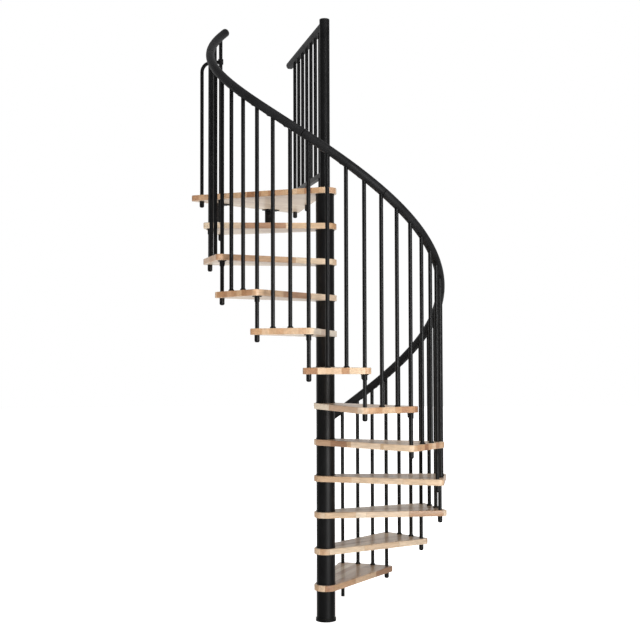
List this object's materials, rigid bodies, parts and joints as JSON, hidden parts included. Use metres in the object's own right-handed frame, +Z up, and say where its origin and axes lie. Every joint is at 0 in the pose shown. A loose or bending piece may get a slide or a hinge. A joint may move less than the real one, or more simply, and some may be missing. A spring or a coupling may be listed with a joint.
{
  "type": "spiral staircase",
  "caption": "Spiral staircase with wedge-shaped hardwood treads around a steel column, rods under a helical handrail, and a fenced landing that joins an upper floor",
  "frame": {"origin": "centre of the column's base flange, on the lower floor", "axes": "+Z up along the column, +Y square to the landing's outer edge, which is the way out to the upper floor, +X to the right of someone who leaves the stair"},
  "size_m": [1.3978, 1.565, 3.5549],
  "materials": {
    "powder_coat": "semi-gloss black powder coat",
    "handrail_plastic": "satin black plastic profile",
    "hardwood": "clear satin lacquer on finger-jointed light hardwood"
  },
  "bodies": {
    "root": {"base_flange": "powder_coat", "spindle_tube": "powder_coat", "spindle_cap": "handrail_plastic", "spacer_tubes": "powder_coat", "centring_rings": "powder_coat", "tread_01": "hardwood", "tread_02": "hardwood", "tread_03": "hardwood", "tread_04": "hardwood", "tread_05": "hardwood", "tread_06": "hardwood", "tread_07": "hardwood", "tread_08": "hardwood", "tread_09": "hardwood", "tread_10": "hardwood", "tread_11": "hardwood", "landing": "hardwood", "handrail_1": "handrail_plastic", "handrail_2": "handrail_plastic", "handrail_3": "handrail_plastic", "handrail_4": "handrail_plastic", "handrail_5": "handrail_plastic", "handrail_6": "handrail_plastic", "handrail_7": "handrail_plastic", "handrail_8": "handrail_plastic", "handrail_joints": "handrail_plastic", "handrail_caps": "handrail_plastic", "long_balusters": "powder_coat", "short_balusters": "powder_coat", "baluster_feet": "powder_coat", "nosing_brackets": "powder_coat", "rear_cups": "powder_coat", "landing_cups": "powder_coat", "fence_rail": "handrail_plastic", "fence_rail_cap": "handrail_plastic", "fence_low_rail": "powder_coat", "fence_bars": "powder_coat", "closing_rod": "powder_coat", "slab_brackets": "powder_coat"}
  },
  "joints": []
}
